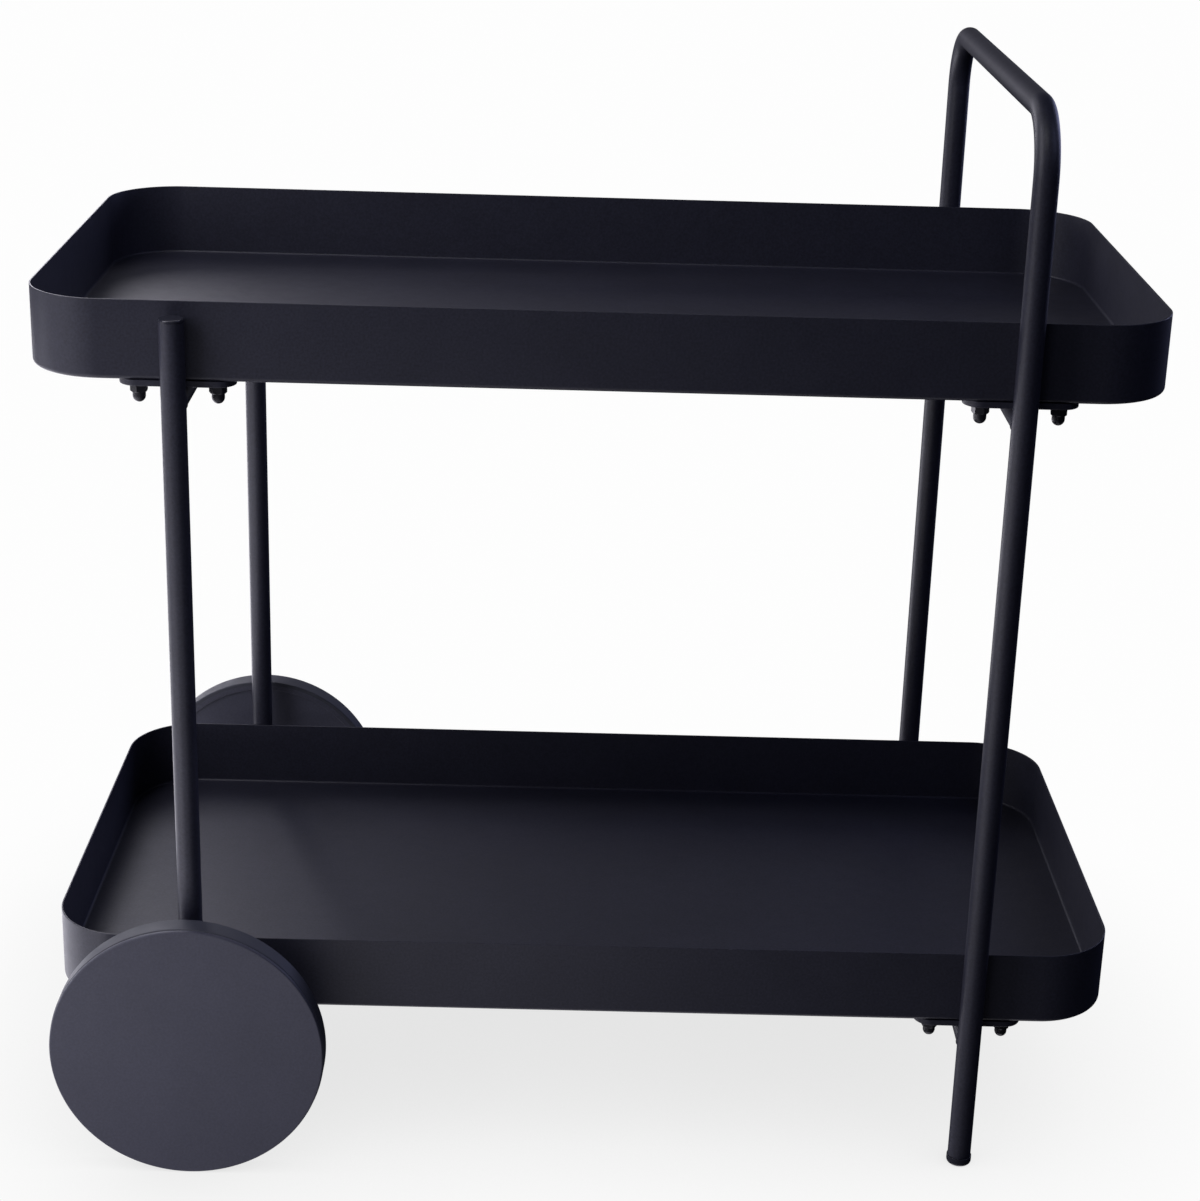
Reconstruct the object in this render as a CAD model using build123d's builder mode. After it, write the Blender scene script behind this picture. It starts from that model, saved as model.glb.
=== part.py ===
"""Bar cart: two steel trays bolted between a wheeled tube frame and a bent handle frame.

Frame: millimetres, +Z up. The origin is on the floor under the middle of the cart. +X runs from
the wheel end to the handle end. -Y is the front, +Y the back.
"""

import math
import os

from build123d import *

os.makedirs("parts", exist_ok=True)

# ---------------------------------------------------------------- driving sizes

# trays
tray_length = 730.0
tray_width = 368.0
tray_height = 51.5
tray_corner_radius = 50.0
tray_sheet = 1.2
tray_bend_radius = 3.0  # outside of the bend from floor to wall
tray_rim_radius = 0.4  # rounding of the rim's two edges
tray_spacing = 442.0  # from the lower rim to the upper rim

# tubes
tube_diameter = 16.0
tube_wall = 1.5
handle_bend_radius = 40.0  # to the tube's centre line
handle_rise = 138.0  # top of the handle above the upper rim
leg_setback = 98.5  # tray end to leg centre, at both ends
side_gap = 0.5  # tray side to leg
leg_top_drop = 9.0  # top of the leg plug below the upper rim
weld_gap = 0.05  # a coped or seated tube end to what it is welded to

# tray plates and their fasteners
plate_length = 74.0
plate_width = 24.0
plate_thickness = 4.0
plate_edge_radius = 0.6
stud_diameter = 6.0
stud_spacing = 50.0
stud_hole_clearance = 0.3
stud_thread_in_nut = 7.5
stud_end_chamfer = 0.6
thread_clearance = 0.02
washer_diameter = 12.0
washer_thickness = 1.2
nut_across_flats = 10.0
nut_hex_height = 5.0
nut_dome_diameter = 8.4
nut_height = 12.0
nut_chamfer_depth = 0.8
nut_bore_end = 1.0  # depth left in the bore past the stud's end

# end plugs and foot caps
plug_flange_thickness = 2.0
plug_flange_overhang = 0.3
plug_edge_radius = 0.7
plug_depth = 14.0
plug_clearance = 0.15
plug_rib_thickness = 1.0
plug_rib_count = 3
foot_height = 6.0
foot_overhang = 0.6
foot_edge_radius = 2.5

# axle
axle_tube_diameter = 20.0
axle_tube_wall = 2.0
axle_tube_overhang = 15.5  # leg centre to the tube's end
axle_rod_diameter = 10.0
axle_rod_chamfer = 0.6
axle_bush_length = 14.0
axle_bush_clearance = 0.02

# wheels
wheel_diameter = 185.0
wheel_offset = 18.0  # leg centre to the wheel's inner face
tyre_width = 15.0
tyre_thickness = 3.0
tyre_edge_radius = 1.0
cover_thickness = 3.0
cover_drop = 0.4  # cover edge below the tyre's surface
cover_edge_radius = 1.2
cover_lip_height = 3.0
cover_lip_thickness = 2.0
cover_lip_clearance = 0.2
core_rim_thickness = 4.0
core_face_recess = 2.0  # inner face below the rim
core_web_thickness = 3.0
core_rib_count = 12
core_rib_thickness = 2.0
hub_diameter = 32.0
hub_length = 9.5
hub_bush_wall = 2.0
hub_bush_flange_diameter = 20.0
hub_bush_flange_thickness = 1.0
running_clearance = 0.05
end_play = 0.3
thrust_washer_diameter = 22.0
thrust_washer_thickness = 1.2
ring_diameter = 20.0
ring_thickness = 1.5
ring_tooth_count = 6
ring_slot_width = 1.6
ring_slot_depth = 3.0
rod_past_ring = 1.5

# ---------------------------------------------------------------- sizes that follow

tube_radius = tube_diameter / 2
tube_bore = tube_radius - tube_wall
axle_tube_radius = axle_tube_diameter / 2
wheel_radius = wheel_diameter / 2
rod_radius = axle_rod_diameter / 2
stud_radius = stud_diameter / 2

leg_x = tray_length / 2 - leg_setback
leg_y = tray_width / 2 + side_gap + tube_radius

axle_z = wheel_radius
lower_base_z = axle_z + axle_tube_radius + plate_thickness
lower_rim_z = lower_base_z + tray_height
upper_rim_z = lower_rim_z + tray_spacing
upper_base_z = upper_rim_z - tray_height
leg_top_z = upper_rim_z - leg_top_drop
handle_z = upper_rim_z + handle_rise - tube_radius

axle_tube_half = leg_y + axle_tube_overhang
wheel_inner_y = leg_y + wheel_offset
inner_washer_start = axle_tube_half - wheel_inner_y
hub_start = inner_washer_start + thrust_washer_thickness + end_play + hub_bush_flange_thickness
hub_end = hub_start + hub_length
outer_washer_start = hub_end + end_play
ring_start = outer_washer_start + thrust_washer_thickness
rod_half = wheel_inner_y + ring_start + ring_thickness + rod_past_ring

plate_y = tray_width / 2 - plate_width / 2
stud_length = plate_thickness + washer_thickness + stud_thread_in_nut

BASES = {"upper": upper_base_z, "lower": lower_base_z}
ENDS = {"wheel": -leg_x, "handle": leg_x}
SIDES = {"front": -1, "back": 1}

STUD_POINTS = [
    (end_x + step * stud_spacing / 2, side * plate_y)
    for end_x in ENDS.values()
    for side in SIDES.values()
    for step in (-1, 1)
]


def save(builder, name):
    """Label a finished piece and write it under its own name."""
    builder.part.label = name
    export_step(builder.part, f"parts/{name}.step")


# ---------------------------------------------------------------- trays


def make_tray(name, base_z):
    """A pressed sheet pan: flat floor, small bend, upright wall, rounded corners."""
    with BuildPart() as tray:
        with BuildSketch(Plane.XY.offset(base_z)):
            RectangleRounded(tray_length, tray_width, tray_corner_radius)
        extrude(amount=tray_height)
        fillet(tray.faces().sort_by(Axis.Z)[0].edges(), radius=tray_bend_radius)
        with BuildSketch(Plane.XY.offset(base_z + tray_sheet)):
            RectangleRounded(
                tray_length - 2 * tray_sheet,
                tray_width - 2 * tray_sheet,
                tray_corner_radius - tray_sheet,
            )
        extrude(amount=tray_height, mode=Mode.SUBTRACT)
        inner_floor = tray.faces().filter_by(Axis.Z).sort_by(Axis.Z)[1]
        fillet(inner_floor.outer_wire().edges(), radius=tray_bend_radius - tray_sheet)
        rim = tray.faces().sort_by(Axis.Z)[-1]
        fillet(rim.edges(), radius=tray_rim_radius)
    save(tray, name)


for level, base_z in BASES.items():
    make_tray(f"{level}_tray", base_z)


# ---------------------------------------------------------------- tube frames


def leg_cutters(x, z):
    """Remove the two legs' own space from a crossbar, so that its ends are coped to them."""
    with Locations((x, -leg_y, z), (x, leg_y, z)):
        Cylinder(radius=tube_radius + weld_gap, height=3 * tube_diameter, mode=Mode.SUBTRACT)


def make_crossbar(name, x, z):
    """A tube from leg to leg, right under the tray plates, coped at both ends."""
    with BuildPart() as crossbar:
        with BuildSketch(Plane(origin=(x, -leg_y, z), z_dir=(0, 1, 0))):
            Circle(tube_radius)
            Circle(tube_bore, mode=Mode.SUBTRACT)
        extrude(amount=2 * leg_y)
        leg_cutters(x, z)
    save(crossbar, name)


def crossbar_z(base_z):
    """Centre height of the crossbar that carries a tray's plates."""
    return base_z - plate_thickness - tube_radius


make_crossbar("wheel_end_upper_crossbar", -leg_x, crossbar_z(upper_base_z))
make_crossbar("handle_end_upper_crossbar", leg_x, crossbar_z(upper_base_z))
make_crossbar("handle_end_lower_crossbar", leg_x, crossbar_z(lower_base_z))

for side_name, side in SIDES.items():
    with BuildPart() as wheel_leg:
        with BuildSketch(Plane(origin=(-leg_x, side * leg_y, axle_z))):
            Circle(tube_radius)
            Circle(tube_bore, mode=Mode.SUBTRACT)
        extrude(amount=leg_top_z - plug_flange_thickness - axle_z)
        with Locations((-leg_x, side * leg_y, axle_z)):
            Cylinder(
                radius=axle_tube_radius + weld_gap,
                height=2 * axle_tube_diameter,
                rotation=(90, 0, 0),
                mode=Mode.SUBTRACT,
            )
    save(wheel_leg, f"wheel_leg_{side_name}")

with BuildPart() as handle_frame:
    with BuildLine(Plane(origin=(leg_x, 0, 0), x_dir=(0, 1, 0), z_dir=(1, 0, 0))):
        FilletPolyline(
            (-leg_y, foot_height),
            (-leg_y, handle_z),
            (leg_y, handle_z),
            (leg_y, foot_height),
            radius=handle_bend_radius,
        )
    with BuildSketch(Plane(origin=(leg_x, -leg_y, foot_height))):
        Circle(tube_radius)
        Circle(tube_bore, mode=Mode.SUBTRACT)
    sweep()
save(handle_frame, "handle_frame")


# ---------------------------------------------------------------- plugs and foot caps


def spigot_profile(way):
    """Half section of a ribbed spigot that runs from a tube's mouth up (way 1) or down (way -1)."""
    with Locations((0, way * plug_depth / 2)):
        Rectangle(tube_bore - plug_clearance, plug_depth, align=(Align.MIN, Align.CENTER))
    for rib in range(plug_rib_count):
        height = way * plug_depth * (rib + 1) / (plug_rib_count + 1)
        with Locations((0, height)):
            Rectangle(tube_bore, plug_rib_thickness, align=(Align.MIN, Align.CENTER))


for side_name, side in SIDES.items():
    plug_axis = Axis((-leg_x, side * leg_y, 0), (0, 0, 1))
    plug_mouth = (-leg_x, side * leg_y, leg_top_z - plug_flange_thickness)
    with BuildPart() as leg_plug:
        with BuildSketch(Plane(origin=plug_mouth, x_dir=(1, 0, 0), z_dir=(0, -1, 0))):
            Rectangle(
                tube_radius + plug_flange_overhang,
                plug_flange_thickness,
                align=(Align.MIN, Align.MIN),
            )
            spigot_profile(-1)
        revolve(axis=plug_axis)
        fillet(leg_plug.faces().sort_by(Axis.Z)[-1].edges(), radius=plug_edge_radius)
    save(leg_plug, f"leg_plug_{side_name}")

    foot_axis = Axis((leg_x, side * leg_y, 0), (0, 0, 1))
    foot_mouth = (leg_x, side * leg_y, foot_height)
    with BuildPart() as foot_cap:
        with BuildSketch(Plane(origin=foot_mouth, x_dir=(1, 0, 0), z_dir=(0, -1, 0))):
            Rectangle(tube_radius + foot_overhang, foot_height, align=(Align.MIN, Align.MAX))
            spigot_profile(1)
        revolve(axis=foot_axis)
        fillet(foot_cap.faces().sort_by(Axis.Z)[0].edges(), radius=foot_edge_radius)
    save(foot_cap, f"foot_cap_{side_name}")


# ---------------------------------------------------------------- tray plates


def make_plate(name, x, y, base_z):
    """A rounded bracket plate with two stud holes, on top of a crossbar's end."""
    with BuildPart() as plate:
        with BuildSketch(Plane(origin=(x, y, base_z - plate_thickness))):
            SlotOverall(plate_length, plate_width)
            with GridLocations(stud_spacing, 0, 2, 1):
                Circle(stud_radius + stud_hole_clearance, mode=Mode.SUBTRACT)
        extrude(amount=plate_thickness)
        underside = plate.faces().sort_by(Axis.Z)[0]
        fillet(underside.outer_wire().edges(), radius=plate_edge_radius)
    save(plate, name)


for level, base_z in BASES.items():
    for end_name, end_x in ENDS.items():
        for side_name, side in SIDES.items():
            plate_name = f"{level}_plate_{end_name}_{side_name}"
            make_plate(plate_name, end_x, side * plate_y, base_z)


# ---------------------------------------------------------------- studs, washers, nuts

with BuildPart() as dome_nut:
    with BuildSketch(Plane.XZ):
        with BuildLine():
            hex_radius = nut_across_flats / 2 / math.cos(math.radians(30))
            dome_radius = nut_dome_diameter / 2
            Polyline(
                (0, 0),
                (nut_across_flats / 2, 0),
                (hex_radius, -nut_chamfer_depth),
                (hex_radius, -nut_hex_height + nut_chamfer_depth),
                (nut_across_flats / 2, -nut_hex_height),
                (dome_radius, -nut_hex_height),
                (dome_radius, -nut_height + dome_radius),
            )
            RadiusArc(
                (dome_radius, -nut_height + dome_radius),
                (0, -nut_height),
                dome_radius,
            )
            Line((0, -nut_height), (0, 0))
        make_face()
    revolve(axis=Axis.Z)
    with BuildSketch(Plane.XY.offset(-nut_height)):
        RegularPolygon(nut_across_flats / 2, 6, major_radius=False)
    extrude(amount=nut_height, mode=Mode.INTERSECT)
    with BuildSketch():
        Circle(stud_radius + thread_clearance)
    extrude(amount=-(stud_thread_in_nut + nut_bore_end), mode=Mode.SUBTRACT)

for level, base_z in BASES.items():
    with BuildPart() as studs:
        with BuildSketch(Plane.XY.offset(base_z)):
            with Locations(*STUD_POINTS):
                Circle(stud_radius)
        extrude(amount=-stud_length)
        stud_ends = studs.faces().filter_by(Axis.Z).group_by(Axis.Z)[0]
        chamfer(stud_ends.edges(), length=stud_end_chamfer)
    save(studs, f"{level}_tray_studs")

    washer_top = base_z - plate_thickness
    with BuildPart() as washers:
        with BuildSketch(Plane.XY.offset(washer_top)):
            with Locations(*STUD_POINTS):
                Circle(washer_diameter / 2)
                Circle(stud_radius + stud_hole_clearance, mode=Mode.SUBTRACT)
        extrude(amount=-washer_thickness)
    save(washers, f"{level}_tray_washers")

    nut_top = washer_top - washer_thickness
    with BuildPart() as nuts:
        for stud_x, stud_y in STUD_POINTS:
            add(dome_nut.part.moved(Location((stud_x, stud_y, nut_top))))
    save(nuts, f"{level}_tray_nuts")


# ---------------------------------------------------------------- axle

with BuildPart() as axle_tube:
    with BuildSketch(Plane(origin=(-leg_x, -axle_tube_half, axle_z), z_dir=(0, 1, 0))):
        Circle(axle_tube_radius)
        Circle(axle_tube_radius - axle_tube_wall, mode=Mode.SUBTRACT)
    extrude(amount=2 * axle_tube_half)
save(axle_tube, "axle_tube")

with BuildPart() as axle_rod:
    with BuildSketch(Plane(origin=(-leg_x, -rod_half, axle_z), z_dir=(0, 1, 0))):
        Circle(rod_radius)
    extrude(amount=2 * rod_half)
    chamfer(axle_rod.faces().filter_by(Axis.Y).edges(), length=axle_rod_chamfer)
save(axle_rod, "axle_rod")


# ---------------------------------------------------------------- wheel stations


def outward_plane(side, distance):
    """Plane across the axle at a distance outboard of the wheel's inner face, facing outboard."""
    y = side * (wheel_inner_y + distance)
    return Plane(origin=(-leg_x, y, axle_z), x_dir=(1, 0, 0), z_dir=(0, side, 0))


def section_plane(side):
    """Plane through the axle line: x is the radius, y runs outboard from the wheel's inner face."""
    origin = (-leg_x, side * wheel_inner_y, axle_z)
    return Plane(origin=origin, x_dir=(1, 0, 0), z_dir=(0, 0, side))


def ring_profile(inner, outer, start, end):
    """Half section of a plain ring between two radii and two outboard distances."""
    with Locations((inner, start)):
        Rectangle(outer - inner, end - start, align=(Align.MIN, Align.MIN))


AXLE = Axis((-leg_x, 0, axle_z), (0, 1, 0))
bush_outer = rod_radius + running_clearance + hub_bush_wall
core_radius = wheel_radius - tyre_thickness
core_inner_radius = core_radius - core_rim_thickness
web_end = core_face_recess + core_web_thickness

for side_name, side in SIDES.items():
    with BuildPart() as axle_bush:
        bush_start = axle_tube_half - axle_bush_length - wheel_inner_y
        with BuildSketch(outward_plane(side, bush_start)):
            Circle(axle_tube_radius - axle_tube_wall)
            Circle(rod_radius + axle_bush_clearance, mode=Mode.SUBTRACT)
        extrude(amount=axle_bush_length)
    save(axle_bush, f"axle_tube_bush_{side_name}")

    with BuildPart() as core:
        with BuildSketch(section_plane(side)):
            ring_profile(core_inner_radius, core_radius, 0, tyre_width)
            ring_profile(hub_diameter / 2, core_inner_radius, core_face_recess, web_end)
            ring_profile(bush_outer, hub_diameter / 2, hub_start, hub_end)
        revolve(axis=AXLE)
        rib_reach = core_inner_radius - hub_diameter / 2
        rib_height = hub_end - web_end
        with BuildSketch(outward_plane(side, web_end)):
            with PolarLocations(hub_diameter / 2 + rib_reach / 2, core_rib_count):
                Rectangle(rib_reach + core_rim_thickness, core_rib_thickness)
        extrude(amount=rib_height)
    save(core, f"wheel_core_{side_name}")

    with BuildPart() as tyre:
        with BuildSketch(section_plane(side)):
            ring_profile(core_radius, wheel_radius, 0, tyre_width)
        revolve(axis=AXLE)
        outer_edges = tyre.edges().filter_by(GeomType.CIRCLE).group_by(SortBy.RADIUS)[-1]
        fillet(outer_edges, radius=tyre_edge_radius)
    save(tyre, f"wheel_tyre_{side_name}")

    with BuildPart() as cover:
        lip_outer = core_inner_radius - cover_lip_clearance
        with BuildSketch(section_plane(side)):
            ring_profile(0, wheel_radius - cover_drop, tyre_width, tyre_width + cover_thickness)
            ring_profile(
                lip_outer - cover_lip_thickness,
                lip_outer,
                tyre_width - cover_lip_height,
                tyre_width,
            )
        revolve(axis=AXLE)
        face = cover.faces().sort_by(Axis.Y)[-1 if side > 0 else 0]
        fillet(face.edges(), radius=cover_edge_radius)
    save(cover, f"wheel_cover_{side_name}")

    with BuildPart() as hub_bush:
        with BuildSketch(section_plane(side)):
            ring_profile(rod_radius + running_clearance, bush_outer, hub_start, hub_end)
            ring_profile(
                rod_radius + running_clearance,
                hub_bush_flange_diameter / 2,
                hub_start - hub_bush_flange_thickness,
                hub_start,
            )
        revolve(axis=AXLE)
    save(hub_bush, f"hub_bush_{side_name}")

    washer_starts = {"inner": inner_washer_start, "outer": outer_washer_start}
    for place, start in washer_starts.items():
        with BuildPart() as thrust_washer:
            with BuildSketch(outward_plane(side, start)):
                Circle(thrust_washer_diameter / 2)
                Circle(rod_radius + running_clearance, mode=Mode.SUBTRACT)
            extrude(amount=thrust_washer_thickness)
        save(thrust_washer, f"{place}_thrust_washer_{side_name}")

    with BuildPart() as push_ring:
        with BuildSketch(outward_plane(side, ring_start)):
            Circle(ring_diameter / 2)
            Circle(rod_radius, mode=Mode.SUBTRACT)
            with PolarLocations(rod_radius, ring_tooth_count):
                Rectangle(2 * ring_slot_depth, ring_slot_width, mode=Mode.SUBTRACT)
        extrude(amount=ring_thickness)
    save(push_ring, f"push_on_ring_{side_name}")
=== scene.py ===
"""Looks of the bar cart: two pressed trays on a welded tube frame, with two disc wheels.

Lengths are in metres in the frame of the CAD model: the origin is on the floor under the middle
of the cart, +X runs from the wheel end to the handle end, -Y is the front and +Z is up.
"""

from __future__ import annotations

import logging
import math
from collections.abc import Iterable, Sequence
from dataclasses import dataclass, field
from enum import Enum
from typing import Any

import bmesh
import bpy
from mathutils import Matrix, Vector

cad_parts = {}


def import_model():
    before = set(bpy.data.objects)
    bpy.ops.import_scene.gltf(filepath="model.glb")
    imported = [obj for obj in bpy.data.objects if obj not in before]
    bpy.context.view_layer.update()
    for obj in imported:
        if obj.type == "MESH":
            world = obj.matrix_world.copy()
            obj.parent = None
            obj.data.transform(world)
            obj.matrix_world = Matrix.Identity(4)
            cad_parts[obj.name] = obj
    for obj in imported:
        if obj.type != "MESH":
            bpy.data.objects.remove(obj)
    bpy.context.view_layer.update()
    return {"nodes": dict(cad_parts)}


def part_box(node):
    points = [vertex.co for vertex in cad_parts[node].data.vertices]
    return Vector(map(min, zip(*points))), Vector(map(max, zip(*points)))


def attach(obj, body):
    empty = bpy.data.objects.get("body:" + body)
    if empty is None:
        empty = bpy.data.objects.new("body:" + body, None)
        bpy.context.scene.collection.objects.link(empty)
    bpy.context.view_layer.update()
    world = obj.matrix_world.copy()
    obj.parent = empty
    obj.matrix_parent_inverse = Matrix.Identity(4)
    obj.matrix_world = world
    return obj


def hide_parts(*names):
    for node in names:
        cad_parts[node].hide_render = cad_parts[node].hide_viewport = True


log = logging.getLogger("bar_cart")

MM = 0.001
SHARP_ANGLE = math.radians(35)
SEXTANT = math.pi / 3


# ---------------------------------------------------------------- named options


class Side(Enum):
    """The two long sides of the cart, by the sign of Y."""

    FRONT = -1
    BACK = 1

    @property
    def word(self) -> str:
        """The side's name as it stands in node names."""
        return self.name.lower()


class End(Enum):
    """The two short ends of the cart, by the sign of X."""

    WHEEL = -1
    HANDLE = 1

    @property
    def word(self) -> str:
        """The end's name as it stands in node names."""
        return self.name.lower()


class Level(Enum):
    """The two trays."""

    UPPER = "upper"
    LOWER = "lower"


class Coat(Enum):
    """The material slots of the record, one for each finish."""

    POWDER = "powder_coat"
    FASTENER = "coated_fastener"
    ZINC = "zinc_steel"
    PLUG = "plug_plastic"
    ACETAL = "nylon_bush"
    RUBBER = "tyre_rubber"
    WHEEL = "wheel_plastic"


# ---------------------------------------------------------------- mesh tools

Point2 = tuple[float, float]
Corner = tuple[float, float, float]


@dataclass
class Shape:
    """Vertices and faces of a piece while it is being built."""

    points: list[Vector] = field(default_factory=list)
    faces: list[tuple[int, ...]] = field(default_factory=list)

    def add_loop(self, points: Iterable[Vector]) -> list[int]:
        """Add one closed loop of vertices.

        Args:
            points: the places of the vertices, in order round the loop.

        Returns:
            The numbers of the new vertices.
        """
        first = len(self.points)
        self.points.extend(points)
        return list(range(first, len(self.points)))

    def bridge(self, one: Sequence[int], other: Sequence[int]) -> None:
        """Join two loops of the same count with a band of quads.

        Args:
            one: vertex numbers of the first loop.
            other: vertex numbers of the second loop.
        """
        count = len(one)
        for i in range(count):
            j = (i + 1) % count
            self.faces.append((one[i], one[j], other[j], other[i]))

    def loft(self, loops: Iterable[Iterable[Vector]], ring: bool) -> None:
        """Add a closed body that runs through loops of the same count.

        Args:
            loops: the loops, in order.
            ring: True joins the last loop to the first, False closes both ends with a flat cap.
        """
        rows = [self.add_loop(loop) for loop in loops]
        for one, other in zip(rows, rows[1:]):
            self.bridge(one, other)
        if ring:
            self.bridge(rows[-1], rows[0])
        else:
            self.faces.append(tuple(reversed(rows[0])))
            self.faces.append(tuple(rows[-1]))

    def lathe(self, outline: Sequence[Point2], place: Matrix, ring: bool, steps: int = 48) -> None:
        """Add a turned body.

        Args:
            outline: (radius, height) points of half the section.
            place: carries the turning axis, local Z, to its place.
            ring: True for a closed outline clear of the axis, False for one that starts and ends
                near the axis.
            steps: flats round the body.
        """
        self.loft(([place @ p for p in circle(r, h, steps)] for r, h in outline), ring)


def circle(radius: float, height: float, steps: int) -> list[Vector]:
    """Points of a circle about local Z.

    Args:
        radius: the circle's radius.
        height: its place along Z.
        steps: the number of points.

    Returns:
        The points, in order.
    """
    turns = (2 * math.pi * i / steps for i in range(steps))
    return [Vector((radius * math.cos(a), radius * math.sin(a), height)) for a in turns]


def rounded(corners: Sequence[Corner], closed: bool, steps: int = 5) -> list[Point2]:
    """An outline whose corners are arcs.

    Args:
        corners: (x, y, radius) of each corner. A radius of 0 keeps the corner sharp.
        closed: whether the last corner joins the first.
        steps: straight steps in each arc.

    Returns:
        The points of the outline.
    """
    found: list[Point2] = []
    count = len(corners)
    for i, (x, y, radius) in enumerate(corners):
        here = Vector((x, y))
        if radius == 0 or (not closed and i in (0, count - 1)):
            found.append((x, y))
            continue
        back = (Vector(corners[i - 1][:2]) - here).normalized()
        ahead = (Vector(corners[(i + 1) % count][:2]) - here).normalized()
        half = back.angle(ahead) / 2
        middle = here + (back + ahead).normalized() * radius / math.sin(half)
        start = here + back * radius / math.tan(half) - middle
        sweep = start.angle_signed(here + ahead * radius / math.tan(half) - middle)
        for step in range(steps + 1):
            turned = Matrix.Rotation(-sweep * step / steps, 2) @ start
            found.append(tuple(middle + turned))
    return found


def oblong(length: float, width: float, radius: float, z: float, steps: int) -> list[Vector]:
    """Points of a rectangle with round corners, about the Z axis.

    Args:
        length: size along X.
        width: size along Y.
        radius: corner radius.
        z: height of the loop.
        steps: steps in each corner.

    Returns:
        The points, in order.
    """
    points = []
    for quarter, (sx, sy) in enumerate(((1, 1), (-1, 1), (-1, -1), (1, -1))):
        cx, cy = sx * (length / 2 - radius), sy * (width / 2 - radius)
        for step in range(steps + 1):
            a = math.pi / 2 * (quarter + step / steps)
            points.append(Vector((cx + radius * math.cos(a), cy + radius * math.sin(a), z)))
    return points


@dataclass
class Station:
    """One cross-section of a tube.

    A tube's own side direction is always X, so every tube here lies in a plane across X.
    """

    centre: Vector
    along: Vector
    cope: float = 0.0

    def loop(self, radius: float, steps: int) -> list[Vector]:
        """The circle of this section, or its saddle where the end is coped.

        Args:
            radius: the tube's radius.
            steps: points round the tube.

        Returns:
            The points. A cope above 0 moves each one forward on to a crossing tube of that
            radius, and one below 0 moves it back.
        """
        across = Vector((1, 0, 0))
        up = self.along.cross(across)
        points = []
        for i in range(steps):
            a = 2 * math.pi * i / steps
            offset = across * math.cos(a) + up * math.sin(a)
            shift = math.sqrt(max(self.cope**2 - (radius * offset.x) ** 2, 0))
            points.append(self.centre + offset * radius + self.along * math.copysign(shift, self.cope))
        return points


def pipe(shape: Shape, stations: Sequence[Station], outer: float, inner: float, steps: int = 64) -> None:
    """Add a tube with a wall and small rounded lips at its ends.

    Args:
        shape: takes the new faces.
        stations: sections from end to end.
        outer: outside radius.
        inner: bore radius.
        steps: points round the tube.
    """
    lip = 0.25 * MM
    last = len(stations) - 1

    def inset(index: int, distance: float) -> Station:
        """The section at an index, moved in from the tube's end by a distance."""
        station = stations[index]
        way = {0: 1, last: -1}.get(index, 0)
        return Station(station.centre + station.along * way * distance, station.along, station.cope)

    loops = [inset(0, 0).loop(outer - lip, steps), inset(0, lip / 3).loop(outer - lip / 3, steps)]
    loops += [inset(i, lip).loop(outer, steps) for i in range(last + 1)]
    loops += [inset(last, lip / 3).loop(outer - lip / 3, steps), inset(last, 0).loop(outer - lip, steps)]
    loops += [inset(i, 0).loop(inner, steps) for i in range(last, -1, -1)]
    shape.loft(loops, ring=True)


def bead(shape: Shape, line: Sequence[Vector], radius: float, closed: bool) -> None:
    """Add a weld bead along a line: a small round cord with the ripples of the weld pool.

    Args:
        shape: takes the new faces.
        line: points of the bead's centre line.
        radius: mean radius of the bead.
        closed: whether the line closes on itself.
    """
    steps, ripple_pitch, ripple_share = 10, 1.6 * MM, 0.10
    end_size, end_growth = 0.35, 0.22
    slant = Vector((0.31, 0.22, 0.93))  # not parallel to any weld of the cart
    count = len(line)
    loops, travelled = [], 0.0
    for i, here in enumerate(line):
        ahead = line[(i + 1) % count] if closed or i < count - 1 else here
        behind = line[i - 1] if closed or i > 0 else here
        along = (ahead - behind).normalized()
        side = along.cross(slant).normalized()
        up = along.cross(side)
        travelled += (here - line[i - 1]).length if i else 0.0
        ripple = 1 + ripple_share * abs(math.sin(math.pi * travelled / ripple_pitch))
        end = min(i, count - 1 - i)
        taper = 1.0 if closed else min(1.0, end_size + end_growth * end)
        loops.append(
            [here + (side * p.x + up * p.y) * ripple * taper for p in circle(radius, 0, steps)]
        )
    shape.loft(loops, ring=closed)


# ---------------------------------------------------------------- material tools


def linear(code: str) -> tuple[float, float, float, float]:
    """Turn an sRGB hex colour into the linear colour that shaders take.

    Args:
        code: such as "#2b2d36".

    Returns:
        Red, green, blue and an alpha of 1.
    """
    values = [int(code[i : i + 2], 16) / 255 for i in (1, 3, 5)]
    bent = [v / 12.92 if v <= 0.04045 else ((v + 0.055) / 1.055) ** 2.4 for v in values]
    return (*bent, 1.0)


def per_metre(millimetres: float) -> float:
    """The texture scale that gives features of this size."""
    return 1 / (millimetres * MM)


def node(
    tree: bpy.types.NodeTree,
    kind: str,
    settings: dict[str | int, Any],
    links: dict[str | int, bpy.types.NodeSocket] | None = None,
) -> bpy.types.Node:
    """Add a node to a tree.

    Args:
        tree: the node tree.
        kind: the node's type name, without its ShaderNode prefix.
        settings: values of its inputs, or of its own properties.
        links: output sockets that feed its inputs.

    Returns:
        The new node.
    """
    made = tree.nodes.new("ShaderNode" + kind)
    for key, value in settings.items():
        if isinstance(key, str) and hasattr(made, key):
            setattr(made, key, value)
        else:
            made.inputs[key].default_value = value
    for key, socket in (links or {}).items():
        tree.links.new(socket, made.inputs[key])
    return made


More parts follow.
